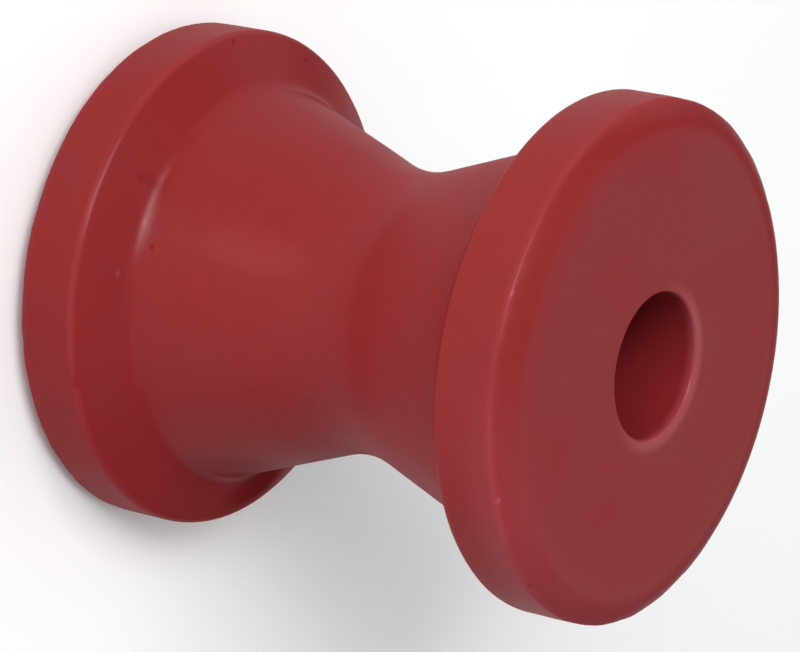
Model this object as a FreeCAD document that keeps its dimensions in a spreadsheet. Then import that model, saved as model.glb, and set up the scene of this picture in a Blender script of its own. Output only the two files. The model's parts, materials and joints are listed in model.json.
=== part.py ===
import FreeCAD, Part
import math
import os
import Sketcher
from enum import IntEnum

# Boat trailer roller: one spool of moulded polyurethane, with a plain bore that turns on a spindle.
# Millimetres. The spool is drawn about the middle of its length with its axis along Z, and its
# placement then stands it on one end face, so that the foot of the roller lies at Z = 0.

# Driving dimensions: value, and what it measures
SIZES = {
    "overall_length": (75.0, "from one end face to the other"),
    "flange_diameter": (65.0, "across the rim of a flange"),
    "edge_drop": (2.2, "that the end face falls along the axis before it meets the rim"),
    "edge_round": (9.0, "radius of the curve in which the end face falls to the rim"),
    "rim_width": (7.6, "of the rim, from its outer edge to the break of its inner edge"),
    "inner_edge_break": (0.7, "broken off the rim's inner edge, both along and across the axis"),
    "flange_lip": (6.8, "from the rim down to the root, across the axis"),
    "face_lean": (3.4, "that the inner face leans along the axis, from the break to the root"),
    "root_round": (3.2, "radius of the hollow at the root, between the inner face and the flank"),
    "waist_diameter": (36.5, "at the middle, where the keel rides"),
    "waist_round": (16.7, "radius of the hollow at the waist"),
    "bore_diameter": (18.2, "of the spindle bore"),
    "mouth_break": (0.4, "broken off the bore's edge at each end face"),
}

# How near an edge must lie to the place where it is looked for
PLACE_TOLERANCE = 1e-4

FULL_TURN = 360.0
QUARTER_TURN = math.pi / 2
SKETCH_NORMAL = FreeCAD.Vector(0, 0, 1)


class Spot(IntEnum):
    """Numbers that a sketch gives to the points of an edge."""
    START = 1
    END = 2
    CENTRE = 3


class Guide(IntEnum):
    """Numbers that a sketch gives to its own two axes."""
    ACROSS = -1
    UPRIGHT = -2


# A sketch's origin is where its axis across starts
ORIGIN = (Guide.ACROSS, Spot.START)


def make_sheet(doc):
    """Write the driving dimensions into a spreadsheet, one aliased cell each."""
    sheet = doc.addObject("Spreadsheet::Sheet", "Sizes")
    for row, (alias, (value, meaning)) in enumerate(SIZES.items(), start=1):
        sheet.set(f"A{row}", alias)
        sheet.set(f"B{row}", str(value))
        sheet.setAlias(f"B{row}", alias)
        sheet.set(f"C{row}", meaning)
    doc.recompute()
    return sheet


def new_sketch(body, name, role):
    """Start a sketch on one of the body's own origin planes."""
    plane = next(item for item in body.Origin.OriginFeatures if item.Role == role)
    sketch = body.newObject("Sketcher::SketchObject", name)
    sketch.AttachmentSupport = [(plane, "")]
    sketch.MapMode = "FlatFace"
    sketch.Visibility = False
    return sketch


def constrain(sketch, kind, *references):
    """Add a constraint without a value to a sketch."""
    sketch.addConstraint(Sketcher.Constraint(kind, *references))


def dimension(sketch, name, expression, kind, *references):
    """Add a named dimension to a sketch and bind it to the spreadsheet."""
    number = sketch.addConstraint(Sketcher.Constraint(kind, *references))
    sketch.renameConstraint(number, name)
    sketch.setExpression(f"Constraints.{name}", expression)


def mirrored(point):
    """The same point of the section on the other side of the middle."""
    return FreeCAD.Vector(point.x, -point.y)


def flange_corners(sheet):
    """Work out the corners from the rim's outer edge in to the root, as radius and height."""
    rim_radius = sheet.flange_diameter / 2
    outer_edge = FreeCAD.Vector(rim_radius, sheet.overall_length / 2 - sheet.edge_drop)
    rim_end = outer_edge - FreeCAD.Vector(0, sheet.rim_width)
    face_head = rim_end - FreeCAD.Vector(sheet.inner_edge_break, sheet.inner_edge_break)
    root = FreeCAD.Vector(rim_radius - sheet.flange_lip, face_head.y - sheet.face_lean)
    return [outer_edge, rim_end, face_head, root]


def edge_arc(sheet, outer_edge):
    """Work out the arc in which the end face falls to the rim's outer edge."""
    radius = sheet.edge_round
    rise = radius - sheet.edge_drop
    reach = math.sqrt(radius ** 2 - rise ** 2)
    centre = outer_edge - FreeCAD.Vector(reach, rise)
    return Part.ArcOfCircle(Part.Circle(centre, SKETCH_NORMAL, radius), math.asin(rise / radius), QUARTER_TURN)


def mirrored_arc(arc):
    """The same arc on the other side of the middle."""
    circle = Part.Circle(mirrored(arc.Center), SKETCH_NORMAL, arc.Radius)
    return Part.ArcOfCircle(circle, -arc.LastParameter, -arc.FirstParameter)


def root_arc(sheet, face_head, root, touch):
    """Work out the arc that hollows the root between the inner face and the straight flank."""
    radius = sheet.root_round
    along_face = (face_head - root).normalize()
    along_flank = (touch - root).normalize()
    half_angle = along_face.getAngle(along_flank) / 2
    centre = root + (along_face + along_flank).normalize() * (radius / math.sin(half_angle))
    reach = radius / math.tan(half_angle)
    ends = [root + direction * reach - centre for direction in (along_face, along_flank)]
    turns = [math.atan2(end.y, end.x) for end in ends]
    return Part.ArcOfCircle(Part.Circle(centre, SKETCH_NORMAL, radius), *turns)


def waist_arc(sheet, root):
    """Work out the arc of the waist, which the straight flank from the root runs into."""
    centre = FreeCAD.Vector(sheet.waist_diameter / 2 + sheet.waist_round, 0)
    reach = root - centre
    touch = math.atan2(reach.y, reach.x) + math.acos(sheet.waist_round / reach.Length)
    circle = Part.Circle(centre, SKETCH_NORMAL, sheet.waist_round)
    return Part.ArcOfCircle(circle, touch, 2 * math.pi - touch)


def draw_section(body, sheet):
    """Sketch the section on one side of the axis, from the upper end face down to the lower one."""
    sketch = new_sketch(body, "section", "XZ_Plane")
    *corners, root = flange_corners(sheet)
    curve = edge_arc(sheet, corners[0])
    waist_curve = waist_arc(sheet, root)
    hollow = root_arc(sheet, corners[-1], root, waist_curve.StartPoint)
    axis_end = FreeCAD.Vector(0, sheet.overall_length / 2)

    def add_lines(*points):
        return [sketch.addGeometry(Part.LineSegment(*ends)) for ends in zip(points, points[1:])]

    end_face, = add_lines(axis_end, curve.EndPoint)
    high_curve = sketch.addGeometry(curve)
    rim, edge_break, inner_face = add_lines(*corners, hollow.StartPoint)
    high_hollow = sketch.addGeometry(hollow)
    high_flank, = add_lines(hollow.EndPoint, waist_curve.StartPoint)
    waist = sketch.addGeometry(waist_curve)
    low_flank, = add_lines(waist_curve.EndPoint, mirrored(hollow.EndPoint))
    low_hollow = sketch.addGeometry(mirrored_arc(hollow))
    low_corners = [mirrored(corner) for corner in reversed(corners)]
    low_face, low_break, low_rim = add_lines(mirrored(hollow.StartPoint), *low_corners)
    low_curve = sketch.addGeometry(mirrored_arc(curve))
    low_end_face, axis = add_lines(mirrored(curve.EndPoint), mirrored(axis_end), axis_end)
    root_corner = sketch.addGeometry(Part.Point(root), True)

    # The outline is one closed run: straight edges share their ends
    for run in ([rim, edge_break, inner_face], [low_face, low_break, low_rim], [low_end_face, axis, end_face]):
        for before, after in zip(run, run[1:]):
            constrain(sketch, "Coincident", before, Spot.END, after, Spot.START)

    # Inner faces, hollows, flanks and waist run smoothly into one another
    smooth_run = [inner_face, high_hollow, high_flank, waist, low_flank, low_hollow, low_face]
    for before, after in zip(smooth_run, smooth_run[1:]):
        constrain(sketch, "Tangent", before, Spot.END, after, Spot.START)

    # The end faces run smoothly into their curves, which meet the rim at an edge
    constrain(sketch, "Tangent", end_face, Spot.END, high_curve, Spot.END)
    constrain(sketch, "Coincident", high_curve, Spot.START, rim, Spot.START)
    constrain(sketch, "Coincident", low_rim, Spot.END, low_curve, Spot.END)
    constrain(sketch, "Tangent", low_curve, Spot.START, low_end_face, Spot.START)

    # The root's corner, where the inner face and the flank would meet without the hollow
    constrain(sketch, "PointOnObject", root_corner, Spot.START, inner_face)
    constrain(sketch, "PointOnObject", root_corner, Spot.START, high_flank)
    constrain(sketch, "Equal", high_hollow, low_hollow)

    # The axis stands on the sketch's own, and the lower corners mirror the upper ones
    constrain(sketch, "PointOnObject", axis, Spot.END, Guide.UPRIGHT)
    constrain(sketch, "PointOnObject", waist, Spot.CENTRE, Guide.ACROSS)
    constrain(sketch, "Symmetric", axis, Spot.START, axis, Spot.END, Guide.ACROSS)
    constrain(sketch, "Symmetric", end_face, Spot.END, low_end_face, Spot.START, Guide.ACROSS)
    constrain(sketch, "Symmetric", rim, Spot.START, low_rim, Spot.END, Guide.ACROSS)
    constrain(sketch, "Symmetric", rim, Spot.END, low_rim, Spot.START, Guide.ACROSS)
    constrain(sketch, "Symmetric", inner_face, Spot.START, low_face, Spot.END, Guide.ACROSS)
    constrain(sketch, "Symmetric", inner_face, Spot.END, low_face, Spot.START, Guide.ACROSS)
    constrain(sketch, "Horizontal", end_face)
    constrain(sketch, "Vertical", rim)

    dimension(sketch, "length", "Sizes.overall_length",
              "DistanceY", axis, Spot.START, axis, Spot.END, sheet.overall_length)
    dimension(sketch, "rim_radius", "Sizes.flange_diameter / 2",
              "DistanceX", axis, Spot.END, rim, Spot.START, sheet.flange_diameter / 2)
    dimension(sketch, "edge_drop", "Sizes.edge_drop",
              "DistanceY", rim, Spot.START, axis, Spot.END, sheet.edge_drop)
    dimension(sketch, "edge_round", "Sizes.edge_round", "Radius", high_curve, sheet.edge_round)
    dimension(sketch, "rim_width", "Sizes.rim_width",
              "DistanceY", rim, Spot.END, rim, Spot.START, sheet.rim_width)
    dimension(sketch, "break_across", "Sizes.inner_edge_break",
              "DistanceX", edge_break, Spot.END, edge_break, Spot.START, sheet.inner_edge_break)
    dimension(sketch, "break_along", "Sizes.inner_edge_break",
              "DistanceY", edge_break, Spot.END, edge_break, Spot.START, sheet.inner_edge_break)
    dimension(sketch, "flange_lip", "Sizes.flange_lip",
              "DistanceX", root_corner, Spot.START, rim, Spot.END, sheet.flange_lip)
    dimension(sketch, "face_lean", "Sizes.face_lean",
              "DistanceY", root_corner, Spot.START, inner_face, Spot.START, sheet.face_lean)
    dimension(sketch, "root_round", "Sizes.root_round", "Radius", high_hollow, sheet.root_round)
    dimension(sketch, "waist_round", "Sizes.waist_round", "Radius", waist, sheet.waist_round)
    dimension(sketch, "waist_centre", "Sizes.waist_diameter / 2 + Sizes.waist_round",
              "DistanceX", axis, Spot.START, waist, Spot.CENTRE, waist_curve.Center.x)
    return sketch


def revolve_spool(body, sketch):
    """Turn the half section about its own upright axis into the solid spool."""
    spool = body.newObject("PartDesign::Revolution", "spool")
    spool.Profile = sketch
    spool.ReferenceAxis = (sketch, ["V_Axis"])
    spool.Angle = FULL_TURN
    return spool


def cut_bore(body, sheet):
    """Cut the plain spindle bore right through, both ways from the middle."""
    sketch = new_sketch(body, "bore_circle", "XY_Plane")
    radius = sheet.bore_diameter / 2
    circle = sketch.addGeometry(Part.Circle(FreeCAD.Vector(), SKETCH_NORMAL, radius))
    constrain(sketch, "Coincident", circle, Spot.CENTRE, *ORIGIN)
    dimension(sketch, "bore_diameter", "Sizes.bore_diameter", "Diameter", circle, sheet.bore_diameter)
    bore = body.newObject("PartDesign::Pocket", "spindle_bore")
    bore.Profile = sketch
    bore.Type = "ThroughAll"
    bore.SideType = "Symmetric"
    return bore


def ring_edges(shape, radius, height):
    """Names of the two ring edges of this radius that lie this far above and below the middle."""
    names = []
    for number, edge in enumerate(shape.Edges, start=1):
        curve = edge.Curve
        if not isinstance(curve, Part.Circle):
            continue
        misses = (curve.Radius - radius, abs(curve.Center.z) - height)
        if max(map(abs, misses)) < PLACE_TOLERANCE:
            names.append(f"Edge{number}")
    return names


def break_mouths(body, bore, sheet):
    """Break the bore's edge at both end faces."""
    edges = ring_edges(bore.Shape, sheet.bore_diameter / 2, sheet.overall_length / 2)
    breaks = body.newObject("PartDesign::Chamfer", "mouth_breaks")
    breaks.Base = (bore, edges)
    breaks.setExpression("Size", "Sizes.mouth_break")
    return breaks


def make_roller(doc, sheet):
    """Model the roller as one moulded piece and stand it on its end."""
    body = doc.addObject("PartDesign::Body", "roller")
    body.Label = "roller"
    revolve_spool(body, draw_section(body, sheet))
    bore = cut_bore(body, sheet)
    doc.recompute()
    break_mouths(body, bore, sheet)
    body.setExpression("Placement.Base.z", "Sizes.overall_length / 2")
    doc.recompute()
    return body


def check(doc, bodies):
    """Stop if a feature is in error, a sketch is loose or a solid is faulty."""
    for item in doc.Objects:
        if "Invalid" in item.State or "Error" in item.State:
            raise RuntimeError(f"{item.Label} is in error: {item.State}")
        if item.isDerivedFrom("Sketcher::SketchObject") and not item.FullyConstrained:
            raise RuntimeError(f"{item.Label} isn't fully constrained")
    for body in bodies:
        if body.Shape.isNull() or not body.Shape.isValid() or len(body.Shape.Solids) != 1:
            raise RuntimeError(f"{body.Label} isn't one sound solid")


def main():
    """Build the document and write one STEP file for each piece."""
    doc = FreeCAD.newDocument("boat_trailer_roller")
    sheet = make_sheet(doc)
    bodies = [make_roller(doc, sheet)]
    check(doc, bodies)
    os.makedirs("parts", exist_ok=True)
    for body in bodies:
        body.Shape.exportStep(f"parts/{body.Label}.step")
        box = body.Shape.BoundBox
        print(body.Label, "volume", round(body.Shape.Volume), "height", round(box.ZLength, 3))


main()
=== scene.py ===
import json
import math
from typing import NamedTuple

import bpy
from bpy.props import FloatProperty, FloatVectorProperty, PointerProperty
from bpy.types import Operator, Panel, PropertyGroup
from mathutils import Euler, Matrix, Vector


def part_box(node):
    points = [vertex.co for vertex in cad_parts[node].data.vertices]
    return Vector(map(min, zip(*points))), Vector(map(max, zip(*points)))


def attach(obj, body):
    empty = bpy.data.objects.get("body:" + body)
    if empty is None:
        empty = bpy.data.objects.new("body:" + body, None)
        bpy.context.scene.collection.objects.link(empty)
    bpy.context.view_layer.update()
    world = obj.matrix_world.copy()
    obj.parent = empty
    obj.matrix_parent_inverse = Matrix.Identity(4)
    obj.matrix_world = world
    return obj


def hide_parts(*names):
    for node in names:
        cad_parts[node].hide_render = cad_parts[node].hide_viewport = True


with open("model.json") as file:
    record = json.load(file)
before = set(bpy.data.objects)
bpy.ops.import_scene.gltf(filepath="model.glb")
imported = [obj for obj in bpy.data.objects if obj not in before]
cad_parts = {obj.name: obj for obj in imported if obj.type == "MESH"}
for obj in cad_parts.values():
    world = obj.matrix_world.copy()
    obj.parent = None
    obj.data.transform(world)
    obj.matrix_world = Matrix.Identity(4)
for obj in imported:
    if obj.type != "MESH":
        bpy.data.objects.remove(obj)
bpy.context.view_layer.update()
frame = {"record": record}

bl_info = {
    "name": "Boat Trailer Roller",
    "version": (1, 0, 0),
    "blender": (4, 5, 0),
    "location": "View3D > Sidebar > Roller",
    "description": "Turns a moulded trailer roller on its axis and sets it on a pale studio floor",
    "category": "Add Mesh",
}

MM = 0.001
LOW_CORNER, HIGH_CORNER = map(Vector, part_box("roller"))
BORE = next(mount for mount in frame["record"]["mounts"] if mount["kind"] == "bore")
AXIS = Vector((0, 0, 1))
ORIGIN = Vector((0, 0, 0))
MIDDLE = (LOW_CORNER + HIGH_CORNER) / 2
# Corners of a mesh that lie nearer to each other than this are made one
MERGE_REACH = MM / 100

CLOUD_SIZE = 14 * MM
PATCH_SIZE = 8 * MM
RAGGED_SIZE = 1.2 * MM
RAGGED_PUSH = 0.9 * MM
# The real grain of the mould is finer than the picture shows, so it is drawn coarser
GRAIN_SIZE = 0.9 * MM
GRAIN_DEPTH = 0.05 * MM
HOLLOW_DEPTH = 0.12 * MM
# Red light wanders further under the skin than green and blue
GLOW_REACH = (3 * MM, 0.6 * MM, 0.6 * MM)
# Nearly all values of a noise lie in this span, round this middle
NOISE_SPAN = {"From Min": 0.3, "From Max": 0.7}
NOISE_MIDDLE = (0.5, 0.5, 0.5)
# The brightness of a cloud texture that leaves the skin where it is, which hardly any place exceeds
WAVE_CREST = 0.75
# The side, in degrees, towards which a wide band of painted light lies on the upper flange's edge
PAINTED_LIGHT_BEARING = 25
# The side, in degrees, on which the bore's mouths carry scuff marks and a painted highlight
SCUFF_AND_GLINT_BEARING = 75
# The wear at which nothing is left of the waxy film
WORN_THROUGH = 0.25


class Mark(NamedTuple):
    """A mark on the skin: where it lies in degrees and millimetres, its reach, its tone and its core."""
    bearing: float
    radius: float
    height: float
    reach: tuple[float, float, float]
    tone: float
    core: float = 0.3


# A mark reaches as many millimetres outwards, round the axis and along it. It is pale where its tone is
# above 0 and dark where it is below, and its core is the share of its reach that has the full tone
MARKS = {
    "smear_in_the_root": Mark(-111, 26.5, 13.5, (3.0, 1.2, 2.7), -0.09),
    "pit_above_the_root": Mark(-110, 28, 12.5, (0.7, 0.5, 0.5), -0.14),
    "pit_below_the_root": Mark(-113, 25.5, 14.5, (0.7, 0.7, 0.6), -0.12),
    "pit_beside_the_root": Mark(-94, 25, 15.5, (0.5, 0.6, 0.4), -0.28),
    # Painted highlight where the lamps glint in the root hollow
    "painted_highlight_in_the_root": Mark(-100, 26, 14, (0.6, 0.6, 0.6), 0.2),
    # Painted reflection of the lamps: a faint pale streak along the flank up to the waist
    "painted_reflection_on_the_flank": Mark(-101, 21, 27.5, (12.0, 3.8, 7.8), 0.045, 0.6),
    "speck_on_the_inner_face": Mark(-85, 27.5, 13, (0.5, 0.8, 0.5), 0.2),
    "nick_in_the_inner_edge": Mark(-59, 32, 10, (0.7, 1.3, 0.5), -0.2),
    "pit_high_on_the_inner_face": Mark(-160, 31.5, 10.5, (0.5, 0.5, 0.5), -0.25),
    "pit_at_the_back_of_the_face": Mark(172, 30, 11.5, (0.5, 0.5, 0.5), -0.25),
    # Painted shade on one side of the flank and in the root of the lower flange
    "painted_shade_under_the_flank": Mark(-5, 24, 18.5, (7.0, 10.0, 10.0), -0.12),
    "painted_shade_in_the_lower_root": Mark(25, 28.5, 12, (6.0, 11.0, 6.0), -0.32, 0.0),
    "smudge_by_the_waist": Mark(-44, 18.5, 35, (1.2, 1.8, 1.2), -0.07),
    "smudge_under_the_waist": Mark(-20, 18.5, 34, (1.2, 1.4, 1.0), -0.07),
    # Painted highlight: a short glint on the upper flange's outer edge, on the lamps' side
    "painted_glint_on_the_outer_edge": Mark(-99, 32.5, 73, (0.6, 1.7, 0.5), 0.4),
    "speck_on_the_outer_edge": Mark(-54, 32, 73, (0.5, 0.6, 0.4), 0.4),
    "nick_in_the_outer_edge": Mark(-28, 32, 73, (0.6, 1.0, 0.5), -0.2),
}


class PaleRing(NamedTuple):
    """A pale ring round the roller, for worn edges and for painted light, by its place in the section,
    with its reach in metres.
    """
    radius: float
    height: float
    reach: float
    tone: float
    core: float = 0.0


class Lamp(NamedTuple):
    """A soft studio lamp: bearing and rise in degrees from the roller, panel in metres, power in watts."""
    bearing: float
    rise: float
    width: float
    height: float
    power: float


LAMPS = {
    "key_lamp": Lamp(-123, 43, 0.55, 0.4, 5.7),
    "strip_lamp": Lamp(-108, 30, 0.28, 0.75, 4.3),
    "side_lamp": Lamp(160, 12, 1.3, 0.8, 2.9),
    "front_lamp": Lamp(-90, 12, 0.8, 0.8, 1.7),
    "low_lamp": Lamp(-45, 12, 0.8, 0.8, 1.9),
    "back_lamp": Lamp(90, 42, 0.8, 0.8, 1.9),
    "top_lamp": Lamp(90, 90, 1.4, 1.4, 2.8),
}


def srgb(code):
    """Turn an sRGB hex colour into linear red, green, blue."""
    values = [int(code[place:place + 2], 16) / 255 for place in (0, 2, 4)]
    return tuple(
        value / 12.92 if value <= 0.04045 else ((value + 0.055) / 1.055) ** 2.4 for value in values)


def length(name, description, value):
    """A size in metres that the sidebar shows in the scene's unit."""
    return FloatProperty(
        name=name, description=description, default=value, min=0, unit="LENGTH", precision=5)


class RollerSizes(PropertyGroup):
    """Sizes of the moulded roller."""
    overall_length: length("Length", "From one end face to the other", HIGH_CORNER.z - LOW_CORNER.z)
    flange_diameter: length("Flange", "Diameter across the rim of a flange", 65 * MM)
    edge_drop: length("Drop", "That the end face falls before it meets the rim", 2.2 * MM)
    edge_slant: FloatProperty(
        name="Slant", description="Angle at which the end face meets the rim", subtype="ANGLE",
        default=math.radians(49))
    edge_curve: length("Edge curve", "Radius of the curve in which the end face falls", 8 * MM)
    outer_edge_round: length("Outer edge", "Radius of the rim's outer edge", 0.7 * MM)
    rim_width: length("Rim", "From the end face to the corner with the inner face", 10.1 * MM)
    inner_edge_round: length("Inner edge", "Radius of the rim's inner edge", 1.3 * MM)
    flange_lip: length("Lip", "From the rim down to the root, across the axis", 6.8 * MM)
    face_lean: length("Lean", "That the inner face leans from rim to root", 3.8 * MM)
    root_round: length("Root round", "Radius of the hollow where flange meets flank", 3.2 * MM)
    waist_diameter: length("Waist", "Diameter at the middle", 36.5 * MM)
    waist_round: length("Waist round", "Radius of the hollow at the waist", 16.7 * MM)
    bore_diameter: length("Bore", "Diameter of the spindle bore", 2 * BORE["dims"]["r_mm"] * MM)
    mouth_round: length("Bore mouth", "Radius of the bore's edge at each end", 0.4 * MM)
    unevenness: length("Unevenness", "Depth of the slow waves that the mould leaves", 0.14 * MM)
    edge_wear: length("Edge wear", "Depth of the short waves worn into the flanges' edges", 0.24 * MM)
    mould_wave: length("Mould wave", "Length of the slow waves", 14 * MM)
    wear_wave: length("Wear wave", "Length of the short waves", 4 * MM)
    edge_wear_reach: length("Wear reach", "From the edge to where its wear ends", 2.5 * MM)
    seat_radius: length("Seat", "Radius of the end face's middle, which stays true", 27 * MM)


class RollerFinish(PropertyGroup):
    """Colours and shine of the cast polyurethane, with the colours of its painted light and shade."""
    body_colour: FloatVectorProperty(
        name="Body", description="Colour of the polyurethane", subtype="COLOR", default=srgb("802123"),
        min=0, max=1)
    deep_colour: FloatVectorProperty(
        name="Deep", description="Colour of the darker clouds", subtype="COLOR", default=srgb("751F21"),
        min=0, max=1)
    # The pale colour is also that of the painted highlights, the painted reflection and the band of
    # painted light
    pale_and_lit_colour: FloatVectorProperty(
        name="Pale", description="Colour of rubbed edges and pale specks", subtype="COLOR",
        default=srgb("A35359"), min=0, max=1)
    # The dirt colour is also that of the painted shade
    dirt_and_shade_colour: FloatVectorProperty(
        name="Dirt", description="Colour of pits, scrapes and smudges", subtype="COLOR",
        default=srgb("3E1215"), min=0, max=1)
    thick_film: FloatProperty(
        name="Thick film", description="Shine of the waxy film where it is thickest", subtype="FACTOR",
        default=0.31, min=0, max=1)
    thin_film: FloatProperty(
        name="Thin film", description="Shine of the waxy film where it is thinnest", subtype="FACTOR",
        default=0.21, min=0, max=1)


class StudioSetting(PropertyGroup):
    """Camera and light of the stage."""
    distance: length("Distance", "From the camera to the middle of the roller", 491.4 * MM)
    lens: FloatProperty(
        name="Lens", description="Focal length", subtype="DISTANCE_CAMERA", default=175.5, min=1)
    elevation: FloatProperty(
        name="Elevation", description="Height angle of the camera", subtype="ANGLE",
        default=math.radians(33.9))
    roll: FloatProperty(
        name="Roll", description="Turn of the camera about its own line of sight", subtype="ANGLE",
        default=math.radians(101.9))
    lamp_distance: length("Lamps", "From each lamp to the middle of the roller", 1.0)
    lamp_strength: FloatProperty(
        name="Lamp strength", description="Factor on the power of every lamp", subtype="FACTOR",
        default=1, min=0)
    air_strength: FloatProperty(
        name="Air", description="Brightness of the even light all round", subtype="FACTOR",
        default=0.21, min=0)


def deselect_all():
    """Leave nothing selected in the scene."""
    if bpy.context.object and bpy.context.object.mode != "OBJECT":
        bpy.ops.object.mode_set(mode="OBJECT")
    bpy.ops.object.select_all(action="DESELECT")


def add_node(material, kind, inputs, **settings):
    """Add a node, set its options, and give each named input a value or a link."""
    tree = material.node_tree
    node = tree.nodes.new(kind)
    for name, value in settings.items():
        setattr(node, name, value)
    for name, value in inputs.items():
        if isinstance(value, bpy.types.NodeSocket):
            tree.links.new(value, node.inputs[name])
        else:
            node.inputs[name].default_value = value
    return node


def section_point(radius, height):
    """A point of the section, which is drawn with the radius as X and the height as Z."""
    return Vector((radius, 0, height))


def round_off(before, corner, after, radius):
    """Where a round of this radius leaves the two runs of a corner, with its centre and its turn."""
    back = (before - corner).normalized()
    ahead = (after - corner).normalized()
    half_angle = back.angle(ahead) / 2
    reach = radius / math.tan(half_angle)
    centre = corner + (back + ahead).normalized() * radius / math.sin(half_angle)
    turn = math.pi - 2 * half_angle
    side = ahead.cross(back).dot(Vector((0, 1, 0)))
    return corner + back * reach, centre, math.copysign(turn, side)


def section_corners(sizes):
    """Corners of the whole section with the radius of each, round from the middle of the bore."""
    top = sizes.overall_length
    rim = sizes.flange_diameter / 2
    bore = sizes.bore_diameter / 2
    inner = top - sizes.rim_width
    root = inner - sizes.face_lean
    root_radius = rim - sizes.flange_lip
    upper = [
        (section_point(bore, top), sizes.mouth_round),
        (section_point(rim - sizes.edge_drop * math.tan(sizes.edge_slant), top), sizes.edge_curve),
        (section_point(rim, top - sizes.edge_drop), sizes.outer_edge_round),
        (section_point(rim, inner), sizes.inner_edge_round),
        (section_point(root_radius, root), sizes.root_round),
    ]
    waist_corner = section_point(waist_corner_radius(sizes, root_radius, root - top / 2), top / 2)
    lower = [(Vector((point.x, 0, top - point.z)), radius) for point, radius in reversed(upper)]
    return [*upper, (waist_corner, sizes.waist_round), *lower]


def waist_corner_radius(sizes, root_radius, root_height):
    """Radius at which the two straight flanks would meet if the waist weren't hollowed."""
    centre_radius = sizes.waist_diameter / 2 + sizes.waist_round
    reach = Vector((root_radius - centre_radius, root_height))
    touch = math.atan2(reach.y, reach.x) + math.acos(sizes.waist_round / reach.length)
    return centre_radius + sizes.waist_round / math.cos(touch)


def run_to(tip, goal, step):
    """Extrude the outline's end in a straight run of equal steps."""
    count = max(1, round((goal - tip).length / step))
    for _ in range(count):
        bpy.ops.mesh.extrude_region_move(TRANSFORM_OT_translate={"value": (goal - tip) / count})


def draw_outline(sizes, run_step=1.5 * MM, arc_step=math.radians(8)):
    """Draw the section's closed outline with one vertex, extruded along runs and spun about rounds."""
    corners = section_corners(sizes)
    start = section_point(sizes.bore_diameter / 2, sizes.overall_length / 2)
    bpy.ops.mesh.primitive_plane_add(size=sizes.mouth_round, location=ORIGIN)
    bpy.ops.object.mode_set(mode="EDIT")
    bpy.ops.mesh.merge(type="CENTER")
    bpy.ops.transform.translate(value=start)

    points = [start, *(corner for corner, _ in corners), start]
    tip = start
    for before, (corner, radius), after in zip(points, corners, points[2:]):
        leave, centre, turn = round_off(before, corner, after, radius)
        run_to(tip, leave, run_step)
        steps = math.ceil(abs(turn) / arc_step)
        # The operator turns left-handed about its axis
        bpy.ops.mesh.spin(steps=steps, angle=turn, center=centre, axis=(0, -1, 0))
        tip = centre + Matrix.Rotation(turn, 3, "Y") @ (leave - centre)
    run_to(tip, start, run_step)


def turn_section(around=360):
    """Turn the outline about the axis into a closed skin that faces outwards."""
    bpy.ops.mesh.select_all(action="SELECT")
    bpy.ops.mesh.remove_doubles(threshold=MERGE_REACH)
    bpy.ops.mesh.spin(steps=around, angle=2 * math.pi, center=ORIGIN, axis=AXIS)
    bpy.ops.mesh.select_all(action="SELECT")
    bpy.ops.mesh.remove_doubles(threshold=MERGE_REACH)
    bpy.ops.mesh.normals_make_consistent(inside=False)
    bpy.ops.object.mode_set(mode="OBJECT")


def rise(value, low, high):
    """Go smoothly from 0 at the low value to 1 at the high one."""
    share = min(max((value - low) / (high - low), 0), 1)
    return share * share * (3 - 2 * share)


def skin_places(roller, sizes):
    """Give each corner of the mesh with its radius and its depth below the nearer end face."""
    for corner in roller.data.vertices:
        yield corner.index, corner.co.xy.length, min(corner.co.z, sizes.overall_length - corner.co.z)


def free_share(radius, depth, sizes):
    """How far a place is free to wander: not in the bore or on the seat of an end face."""
    if radius < sizes.bore_diameter / 2 + 2 * sizes.mouth_round:
        return 0
    return 1 if depth > sizes.edge_drop else rise(radius, sizes.seat_radius, sizes.flange_diameter / 2)


def edge_share(radius, depth, sizes):
    """How near a place is to the outer edge of a flange."""
    gap = math.hypot(radius - sizes.flange_diameter / 2, depth - sizes.edge_drop)
    return 1 - rise(gap, 0, sizes.edge_wear_reach)


def wear_skin(roller, sizes, name, share, depth, wave):
    """Press the skin inwards in waves of this depth and length, where the share allows it."""
    group = roller.vertex_groups.new(name=name)
    for index, radius, below_face in skin_places(roller, sizes):
        group.add([index], share(radius, below_face, sizes), "REPLACE")
    waves = bpy.data.textures.new(name, "CLOUDS")
    waves.noise_scale = wave
    press = roller.modifiers.new(name, "DISPLACE")
    press.texture = waves
    press.texture_coords = "LOCAL"
    press.mid_level = WAVE_CREST
    press.strength = depth
    press.vertex_group = name
    bpy.ops.object.modifier_apply(modifier=name)


def gather(material, spots):
    """Add up how strong the spots are here: each is full over its core and fades out at its reach."""
    total = 0.0
    for place, middle, turn, reach, tone, core in spots:
        own_place = add_node(
            material, "ShaderNodeMapping",
            {"Vector": place, "Location": middle, "Rotation": (0, 0, turn), "Scale": reach},
            vector_type="TEXTURE")
        gap = add_node(
            material, "ShaderNodeVectorMath", {0: own_place.outputs["Vector"]}, operation="LENGTH")
        strength = add_node(
            material, "ShaderNodeMapRange",
            {"Value": gap.outputs["Value"], "From Min": core, "From Max": 1.0,
             "To Min": tone, "To Max": 0.0},
            interpolation_type="SMOOTHSTEP")
        sum_so_far = add_node(material, "ShaderNodeMath", {0: strength.outputs["Result"], 1: total})
        total = sum_so_far.outputs["Value"]
    return total


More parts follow.
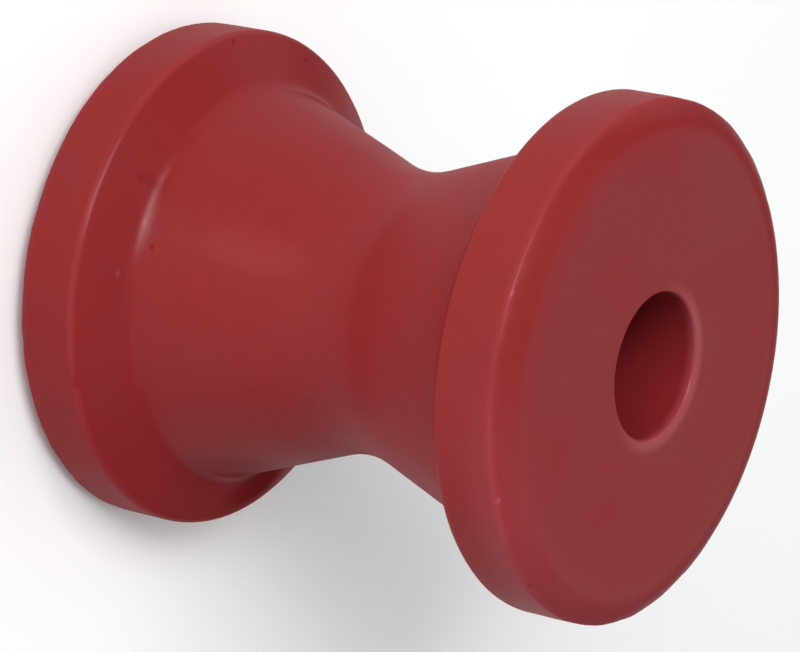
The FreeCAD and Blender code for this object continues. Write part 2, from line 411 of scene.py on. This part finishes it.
def section_place(material, place):
    """Coordinates in the section, with the radius as X and the height as Z."""
    flat = add_node(material, "ShaderNodeVectorMath", {0: place, 1: (1, 1, 0)}, operation="MULTIPLY")
    radius = add_node(material, "ShaderNodeVectorMath", {0: flat.outputs["Vector"]}, operation="LENGTH")
    height = add_node(material, "ShaderNodeSeparateXYZ", {"Vector": place})
    section = add_node(
        material, "ShaderNodeCombineXYZ", {"X": radius.outputs["Value"], "Z": height.outputs["Z"]})
    return section.outputs["Vector"]


def gather_pale_rings(material, section, pale_rings):
    """Add up how pale the rings round the roller make it here, worn edges and painted light alike."""
    return gather(material, [
        (section, section_point(pale_ring.radius, pale_ring.height), 0, (pale_ring.reach,) * 3, pale_ring.tone, pale_ring.core)
        for pale_ring in pale_rings])


def side_share(material, place, bearing, reach):
    """Rise from 0 to 1 towards this bearing, from this far behind the axis to as far before it."""
    towards = Matrix.Rotation(math.radians(bearing), 3, "Z") @ Vector((1, 0, 0))
    across = add_node(material, "ShaderNodeVectorMath", {0: place, 1: towards}, operation="DOT_PRODUCT")
    share = add_node(
        material, "ShaderNodeMapRange",
        {"Value": across.outputs["Value"], "From Min": -reach, "From Max": reach})
    return share.outputs["Result"]


def scuffs_and_painted_light(material, place, section, sizes, band_inset=0.8 * MM, band_depth=1.8 * MM):
    """How pale it is here from the scuff marks and the painted light, which leave the film on: a wide band
    of painted light on one side of the upper edge, and the mouths, with scuff marks and a painted
    highlight on one side.
    """
    top = sizes.overall_length
    rim = sizes.flange_diameter / 2
    mouth = sizes.bore_diameter / 2 + sizes.mouth_round
    # A wide band of painted light round the upper flange's edge, faded out away from one side
    painted_light_band = [PaleRing(rim - band_inset, top - band_depth, reach=6.5 * MM, tone=0.2, core=0.15)]
    # Pale rings at the bore's mouths: partly scuff marks, partly a painted highlight on one side
    mouth_rings = [PaleRing(mouth, height, reach=1.7 * MM, tone=0.42, core=0.1) for height in (0, top)]
    painted_light_fade = rim / 3
    mouth_fade = mouth / 2
    sides = ((painted_light_band, PAINTED_LIGHT_BEARING, painted_light_fade), (mouth_rings, SCUFF_AND_GLINT_BEARING, mouth_fade))
    total = 0.0
    for pale_rings, bearing, fade in sides:
        rings = gather_pale_rings(material, section, pale_rings)
        side = side_share(material, place, bearing, fade)
        sum_so_far = add_node(
            material, "ShaderNodeMath", {0: rings, 1: side, 2: total}, operation="MULTIPLY_ADD")
        total = sum_so_far.outputs["Value"]
    return total


def rubbed_lines(material, place, section, sizes):
    """How pale the edges are rubbed, in thin lines and in patches."""
    top = sizes.overall_length
    rim = sizes.flange_diameter / 2
    lines = gather_pale_rings(material, section, [
        PaleRing(rim, top - sizes.edge_drop, reach=1.0 * MM, tone=0.22),
        PaleRing(rim, sizes.edge_drop, reach=1.0 * MM, tone=0.22),
        PaleRing(rim, sizes.rim_width, reach=0.9 * MM, tone=0.2),
    ])
    patches = add_node(
        material, "ShaderNodeTexNoise", {"Vector": place, "Scale": 1 / PATCH_SIZE, "Detail": 3.0})
    patchiness = add_node(
        material, "ShaderNodeMapRange",
        {"Value": patches.outputs["Fac"], **NOISE_SPAN, "To Min": 0.4, "To Max": 1.0})
    worn = add_node(
        material, "ShaderNodeMath", {0: lines, 1: patchiness.outputs["Result"]}, operation="MULTIPLY")
    return worn.outputs["Value"]


def ragged_place(material, place):
    """The place, pushed about a little so that the marks get ragged outlines."""
    noise = add_node(material, "ShaderNodeTexNoise", {"Vector": place, "Scale": 1 / RAGGED_SIZE})
    either_way = add_node(
        material, "ShaderNodeVectorMath", {0: noise.outputs["Color"], 1: NOISE_MIDDLE},
        operation="SUBTRACT")
    pushed = add_node(
        material, "ShaderNodeVectorMath",
        {0: either_way.outputs["Vector"], 1: (RAGGED_PUSH,) * 3, 2: place}, operation="MULTIPLY_ADD")
    return pushed.outputs["Vector"]


def gather_marks(material, place, side):
    """Add up how strong the single marks are here: the pale ones with the painted highlights and
    reflection for side 1, the dark ones with the painted shade for -1.
    """
    spots = []
    for mark in MARKS.values():
        tone = side * mark.tone
        turn = math.radians(mark.bearing)
        middle = Matrix.Rotation(turn, 3, "Z") @ section_point(mark.radius, mark.height) * MM
        if tone > 0:
            spots.append((place, middle, turn, Vector(mark.reach) * MM, tone, mark.core))
    return gather(material, spots)


def layered_colour(material, finish, layers):
    """Lay each colour over the ones before it by its share."""
    tone = (*finish.deep_colour, 1)
    for share, colour in layers:
        over = add_node(
            material, "ShaderNodeMix", {"Factor": share, "A": tone, "B": (*colour, 1)}, data_type="RGBA")
        tone = over.outputs["Result"]
    return tone


def film_left(material, finish, clouds, wear):
    """How much of the waxy film is left: thinner in the pale clouds, gone where the skin is worn, and
    thinner, down to none, under the painted shade.
    """
    cloudy = add_node(
        material, "ShaderNodeMapRange",
        {"Value": clouds, **NOISE_SPAN, "To Min": finish.thick_film, "To Max": finish.thin_film})
    kept = add_node(
        material, "ShaderNodeMapRange",
        {"Value": wear, "From Min": 0.0, "From Max": WORN_THROUGH, "To Min": 1.0, "To Max": 0.0},
        interpolation_type="SMOOTHSTEP")
    film = add_node(
        material, "ShaderNodeMath",
        {0: cloudy.outputs["Result"], 1: kept.outputs["Result"]}, operation="MULTIPLY")
    return film.outputs["Value"]


def skin_relief(material, place, dark_marks_and_painted_shade):
    """Turn the light at the fine grain of the mould and at the dark marks: in the small pits, and faintly
    under the painted shade.
    """
    grain = add_node(
        material, "ShaderNodeTexNoise", {"Vector": place, "Scale": 1 / GRAIN_SIZE, "Detail": 2.0})
    fine = add_node(
        material, "ShaderNodeBump",
        {"Height": grain.outputs["Fac"], "Strength": 0.15, "Distance": GRAIN_DEPTH})
    pitted = add_node(
        material, "ShaderNodeBump",
        {"Height": dark_marks_and_painted_shade, "Strength": 0.8, "Distance": HOLLOW_DEPTH, "Normal": fine.outputs["Normal"]},
        invert=True)
    return pitted.outputs["Normal"]


def cast_polyurethane(finish, sizes):
    """Cast polyurethane: matt, slightly milky red under a thin waxy film with a soft grey shine."""
    material = bpy.data.materials.new("cast_polyurethane")
    material.use_nodes = True
    material.node_tree.nodes.clear()
    place = add_node(material, "ShaderNodeTexCoord", {}).outputs["Object"]
    clouds = add_node(
        material, "ShaderNodeTexNoise",
        {"Vector": place, "Scale": 1 / CLOUD_SIZE, "Detail": 3.0}).outputs["Fac"]
    section = section_place(material, place)
    edges = rubbed_lines(material, place, section, sizes)
    scuffed_and_painted_light = scuffs_and_painted_light(material, place, section, sizes)
    marked_place = ragged_place(material, place)
    pale_marks_and_painted_light = gather_marks(material, marked_place, side=1)
    dark_marks_and_painted_shade = gather_marks(material, marked_place, side=-1)
    # The pale share holds worn edges and specks together with the painted highlights, the painted
    # reflection and the band of painted light
    paler_and_painted_light = add_node(material, "ShaderNodeMath", {0: scuffed_and_painted_light, 1: pale_marks_and_painted_light}).outputs["Value"]
    rubbed = add_node(material, "ShaderNodeMath", {0: edges, 1: paler_and_painted_light}).outputs["Value"]
    # The film wears off on the edges and in the pits, and thins, down to none, under the painted shade
    wear = add_node(material, "ShaderNodeMath", {0: edges, 1: dark_marks_and_painted_shade}).outputs["Value"]
    tone = layered_colour(material, finish, [
        (clouds, finish.body_colour), (rubbed, finish.pale_and_lit_colour), (dark_marks_and_painted_shade, finish.dirt_and_shade_colour)])
    relief = skin_relief(material, place, dark_marks_and_painted_shade)
    # The shine is all in the coat, because the shader's own specular shines too strongly at a glance
    shader = add_node(
        material, "ShaderNodeBsdfPrincipled",
        {"Base Color": tone, "Roughness": 0.6, "IOR": 1.5, "Specular IOR Level": 0.0,
         "Subsurface Weight": 0.15, "Subsurface Radius": GLOW_REACH, "Subsurface Scale": 1.0,
         "Coat Weight": film_left(material, finish, clouds, wear), "Coat Roughness": 0.28,
         "Normal": relief, "Coat Normal": relief})
    add_node(material, "ShaderNodeOutputMaterial", {"Surface": shader.outputs["BSDF"]})
    return material


class OBJECT_OT_build_roller(Operator):
    """Turn the roller from its section and give it its finish"""
    bl_idname = "object.build_trailer_roller"
    bl_label = "Build Roller"

    def execute(self, context):
        sizes = context.scene.roller_sizes
        deselect_all()
        draw_outline(sizes)
        turn_section()
        roller = context.object
        roller.name = roller.data.name = "moulded_roller"
        wear_skin(roller, sizes, "mould_waves", free_share, sizes.unevenness, sizes.mould_wave)
        wear_skin(roller, sizes, "edge_wear", edge_share, sizes.edge_wear, sizes.wear_wave)
        bpy.ops.object.shade_smooth()
        roller.data.materials.append(cast_polyurethane(context.scene.roller_finish, sizes))
        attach(roller, "root")
        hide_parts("roller")
        return {"FINISHED"}


def matt_paint(name, colour):
    """Flat pale paint of a studio floor, with hardly any gloss."""
    material = bpy.data.materials.new(name)
    material.use_nodes = True
    shader = material.node_tree.nodes["Principled BSDF"]
    shader.inputs["Base Color"].default_value = (*srgb(colour), 1)
    shader.inputs["Roughness"].default_value = 0.9
    return material


def add_floor(half_size=4.0):
    """Lay a wide pale floor under the roller."""
    bpy.ops.mesh.primitive_plane_add(size=2 * half_size, location=(MIDDLE.x, MIDDLE.y, LOW_CORNER.z))
    floor = bpy.context.object
    floor.name = "studio_floor"
    floor.data.materials.append(matt_paint("floor_paint", "F7F7F7"))


def hang_lamp(name, lamp, stage):
    """Hang a soft lamp that faces the roller."""
    turn = Euler((0, -math.radians(lamp.rise), math.radians(lamp.bearing)))
    towards = turn.to_matrix() @ Vector((1, 0, 0))
    bpy.ops.object.light_add(type="AREA", location=MIDDLE + towards * stage.lamp_distance)
    soft_box = bpy.context.object
    soft_box.name = name
    soft_box.rotation_euler = towards.to_track_quat("Z", "Y").to_euler()
    soft_box.data.shape = "RECTANGLE"
    soft_box.data.size = lamp.width
    soft_box.data.size_y = lamp.height
    soft_box.data.energy = lamp.power * stage.lamp_strength
    soft_box.visible_camera = False


def fill_air(stage):
    """Give the studio an even pale light from all round."""
    air = bpy.data.worlds.new("studio_air")
    air.use_nodes = True
    background = air.node_tree.nodes["Background"]
    background.inputs["Color"].default_value = (1, 1, 1, 1)
    background.inputs["Strength"].default_value = stage.air_strength
    bpy.context.scene.world = air


def add_camera(stage):
    """Look down on the roller's upper end, rolled until its axis lies across the picture."""
    aim_right, aim_down = 0.479 * MM, -1.485 * MM
    turn = Euler((math.pi / 2 - stage.elevation, 0, 0)).to_matrix() @ Matrix.Rotation(stage.roll, 3, "Z")
    offset = turn @ Vector((-aim_right, aim_down, stage.distance))
    bpy.ops.object.camera_add(location=MIDDLE + offset, rotation=turn.to_euler())
    camera = bpy.context.object
    camera.name = "studio_camera"
    camera.data.lens = stage.lens
    camera.data.clip_start = 10 * MM
    bpy.context.scene.camera = camera


class OBJECT_OT_build_stage(Operator):
    """Lay the floor, hang the lights and set up the camera"""
    bl_idname = "object.build_roller_stage"
    bl_label = "Build Stage"

    def execute(self, context):
        stage = context.scene.roller_stage
        deselect_all()
        add_floor()
        for name, lamp in LAMPS.items():
            hang_lamp(name, lamp, stage)
        fill_air(stage)
        add_camera(stage)
        context.scene.view_settings.view_transform = "Standard"
        return {"FINISHED"}


class VIEW3D_PT_roller(Panel):
    """Sizes, colours and buttons of the roller"""
    bl_label = "Trailer Roller"
    bl_space_type = "VIEW_3D"
    bl_region_type = "UI"
    bl_category = "Roller"

    def draw(self, context):
        scene = context.scene
        for group in (scene.roller_sizes, scene.roller_finish, scene.roller_stage):
            for name in group.__annotations__:
                self.layout.prop(group, name)
        self.layout.operator(OBJECT_OT_build_roller.bl_idname)
        self.layout.operator(OBJECT_OT_build_stage.bl_idname)


CLASSES = (
    RollerSizes,
    RollerFinish,
    StudioSetting,
    OBJECT_OT_build_roller,
    OBJECT_OT_build_stage,
    VIEW3D_PT_roller,
)


def register():
    """Register the classes and give the scene its settings."""
    for item in CLASSES:
        bpy.utils.register_class(item)
    bpy.types.Scene.roller_sizes = PointerProperty(type=RollerSizes)
    bpy.types.Scene.roller_finish = PointerProperty(type=RollerFinish)
    bpy.types.Scene.roller_stage = PointerProperty(type=StudioSetting)


def unregister():
    """Take the settings and the classes away again."""
    for name in ("roller_sizes", "roller_finish", "roller_stage"):
        delattr(bpy.types.Scene, name)
    for item in reversed(CLASSES):
        bpy.utils.unregister_class(item)


def main():
    """Build the roller and its stage."""
    register()
    bpy.ops.object.build_trailer_roller()
    bpy.ops.object.build_roller_stage()


if __name__ == "__main__":
    main()
